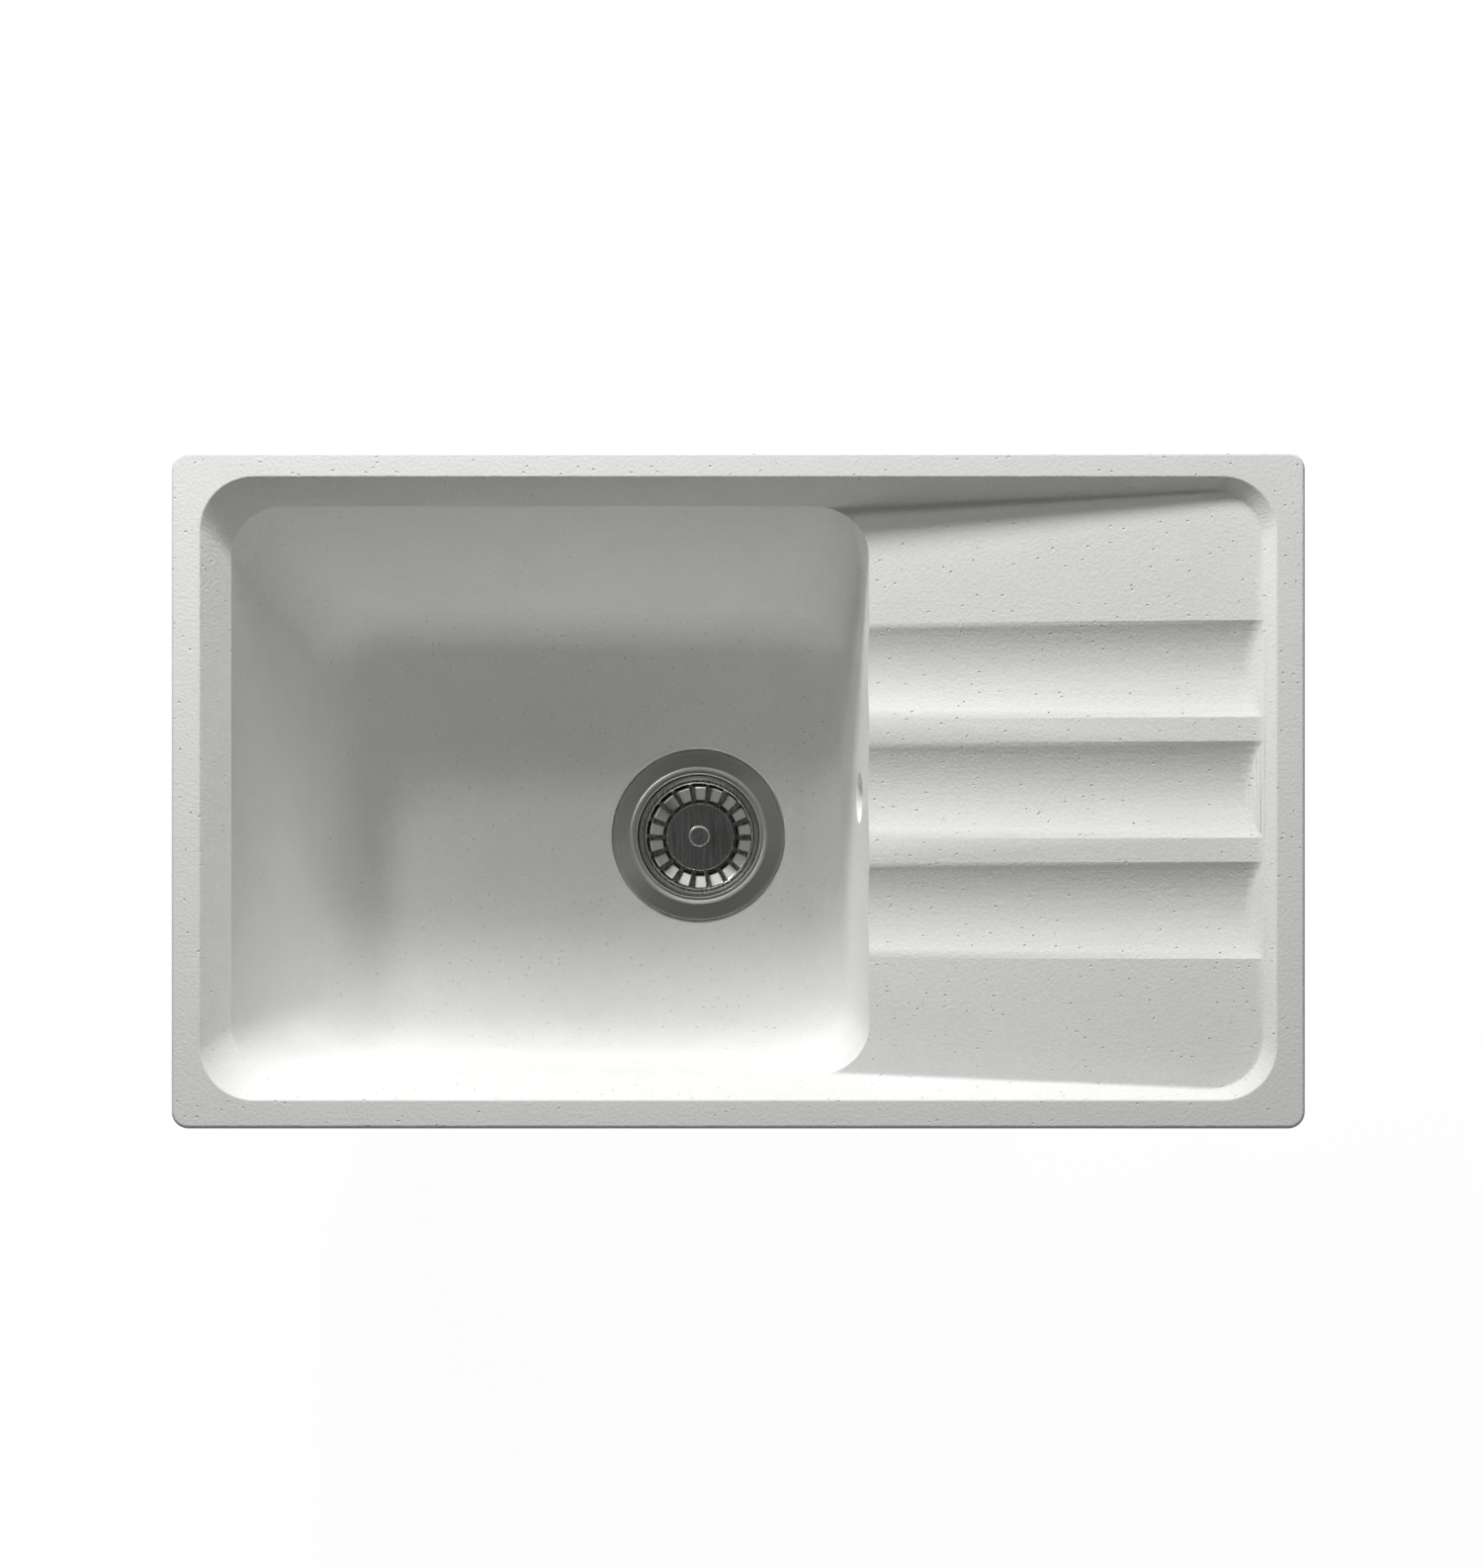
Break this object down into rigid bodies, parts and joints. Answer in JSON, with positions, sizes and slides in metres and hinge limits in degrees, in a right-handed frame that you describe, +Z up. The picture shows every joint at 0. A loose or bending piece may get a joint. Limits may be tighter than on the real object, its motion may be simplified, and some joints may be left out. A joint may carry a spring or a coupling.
{
  "type": "kitchen sink",
  "caption": "Inset kitchen sink in pale quartz composite with a deep bowl, a sloping grooved drainer, a lift-out basket strainer, an overflow and swing-out clips for the worktop.",
  "frame": {"origin": "middle of the rim's outline, on the worktop plane under the rim seal", "axes": "+X along the sink towards the drainer, +Y towards the back, +Z up out of the bowl"},
  "size_m": [0.67, 0.4, 0.2785],
  "materials": {
    "composite": "matt, fine speckle",
    "stainless": "satin",
    "polished_steel": "polished",
    "zinc_steel": "zinc plated",
    "brass": "turned",
    "rubber": "matt",
    "foam": "foam",
    "white_plastic": "moulded"
  },
  "bodies": {
    "sink": {"sink_body": "composite", "rim_seal": "foam", "clip_inserts": "brass", "clip_screws": "zinc_steel", "waste_flange": "stainless", "flange_seal": "rubber", "waste_body": "white_plastic", "body_seal": "rubber", "clamp_screw": "polished_steel", "clamp_insert": "brass", "overflow_seal": "rubber", "overflow_elbow": "white_plastic", "overflow_screws": "zinc_steel", "overflow_pipe": "white_plastic", "overflow_ring_upper": "rubber", "overflow_ring_lower": "rubber", "overflow_nut_upper": "white_plastic", "overflow_nut_lower": "white_plastic"},
    "basket": {"strainer_basket": "stainless", "basket_knob": "polished_steel", "basket_stopper": "rubber", "stopper_nut": "zinc_steel"},
    "clip_left": {"clip_left": "zinc_steel"},
    "clip_right": {"clip_right": "zinc_steel"},
    "clip_back_bowl": {"clip_back_bowl": "zinc_steel"},
    "clip_back_drainer": {"clip_back_drainer": "zinc_steel"},
    "clip_front_bowl": {"clip_front_bowl": "zinc_steel"},
    "clip_front_drainer": {"clip_front_drainer": "zinc_steel"}
  },
  "joints": [
    {"name": "basket_lift", "type": "slide", "parent": "sink", "child": "basket", "axis": [0, 0, 1], "range_m": [0, 0.24]},
    {"name": "clip_left_swing", "type": "hinge", "parent": "sink", "child": "clip_left", "pos_m": [-0.31544, 0, -0.031], "axis": [0, 0, -1], "range_deg": [0, 90]},
    {"name": "clip_right_swing", "type": "hinge", "parent": "sink", "child": "clip_right", "pos_m": [0.3115, 0, -0.031], "axis": [0, 0, -1], "range_deg": [0, 90]},
    {"name": "clip_back_bowl_swing", "type": "hinge", "parent": "sink", "child": "clip_back_bowl", "pos_m": [-0.15, 0.17989, -0.031], "axis": [0, 0, -1], "range_deg": [0, 90]},
    {"name": "clip_back_drainer_swing", "type": "hinge", "parent": "sink", "child": "clip_back_drainer", "pos_m": [0.18, 0.17989, -0.031], "axis": [0, 0, -1], "range_deg": [0, 90]},
    {"name": "clip_front_bowl_swing", "type": "hinge", "parent": "sink", "child": "clip_front_bowl", "pos_m": [-0.15, -0.1825, -0.031], "axis": [0, 0, -1], "range_deg": [0, 90]},
    {"name": "clip_front_drainer_swing", "type": "hinge", "parent": "sink", "child": "clip_front_drainer", "pos_m": [0.18, -0.1825, -0.031], "axis": [0, 0, -1], "range_deg": [0, 90]}
  ]
}
